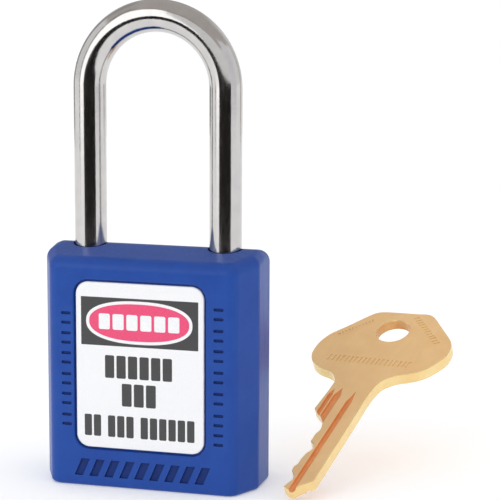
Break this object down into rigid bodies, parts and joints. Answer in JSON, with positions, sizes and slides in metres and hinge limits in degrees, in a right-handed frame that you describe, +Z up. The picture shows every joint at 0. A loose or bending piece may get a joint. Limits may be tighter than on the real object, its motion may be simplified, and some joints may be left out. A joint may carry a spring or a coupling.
{
  "type": "safety lockout padlock with key",
  "caption": "Upright blue plastic padlock with a tall steel U shackle, a white recessed label on each face, and a loose flat brass key beside it.",
  "frame": {"origin": "middle of the padlock's base, under the middle of the shackle", "axes": "+Z up along the shackle legs, X across the width, the front face looks along -Y"},
  "size_m": [0.0693, 0.0456, 0.0863],
  "materials": {
    "blue_plastic": "satin moulded",
    "white_label": "smooth film",
    "dark_cap": "matte",
    "chromed_steel": "polished",
    "bright_steel": "ground",
    "spring_steel": "drawn wire",
    "lock_brass": "turned",
    "key_brass": "fine brushed"
  },
  "bodies": {
    "lock_body": {"body_shell": "blue_plastic", "front_label": "white_label", "back_label": "white_label", "base_cap": "dark_cap", "shackle_spring": "spring_steel", "cylinder_housing": "lock_brass", "chamber_cover": "lock_brass", "driver_pin_1": "bright_steel", "driver_pin_2": "bright_steel", "driver_pin_3": "bright_steel", "driver_pin_4": "bright_steel", "driver_pin_5": "bright_steel", "driver_pin_6": "bright_steel", "pin_spring_1": "spring_steel", "pin_spring_2": "spring_steel", "pin_spring_3": "spring_steel", "pin_spring_4": "spring_steel", "pin_spring_5": "spring_steel", "pin_spring_6": "spring_steel"},
    "shackle_body": {"shackle": "chromed_steel", "spring_follower": "bright_steel"},
    "plug_body": {"plug": "lock_brass", "cam": "lock_brass", "plug_clip": "spring_steel", "bottom_pin_1": "lock_brass", "bottom_pin_2": "lock_brass", "bottom_pin_3": "lock_brass", "bottom_pin_4": "lock_brass", "bottom_pin_5": "lock_brass", "bottom_pin_6": "lock_brass"},
    "ball_left_body": {"ball_left": "bright_steel"},
    "ball_right_body": {"ball_right": "bright_steel"},
    "key_body": {"key": "key_brass"}
  },
  "joints": [
    {"name": "shackle_lift", "type": "slide", "parent": "lock_body", "child": "shackle_body", "axis": [0, 0, 1], "range_m": [0, 0.0145], "deforming": ["shackle_spring"]},
    {"name": "plug_turn", "type": "hinge", "parent": "lock_body", "child": "plug_body", "pos_m": [0, -0.0014, 0], "axis": [0, 0, 1], "range_deg": [0, 90]},
    {"name": "ball_left_slide", "type": "slide", "parent": "lock_body", "child": "ball_left_body", "axis": [1, 0, 0], "range_m": [0, 0.0036]},
    {"name": "ball_right_slide", "type": "slide", "parent": "lock_body", "child": "ball_right_body", "axis": [-1, 0, 0], "range_m": [0, 0.0036]},
    {"name": "key_lift", "type": "slide", "parent": "lock_body", "child": "key_body", "axis": [0, 0, 1], "range_m": [0, 0.03]}
  ],
  "couplings": [
    {"joint": "plug_turn", "follows": "shackle_lift", "rad_per_m": 108.33},
    {"joint": "ball_left_slide", "follows": "shackle_lift", "ratio": 0.2482},
    {"joint": "ball_right_slide", "follows": "shackle_lift", "ratio": 0.2482}
  ]
}
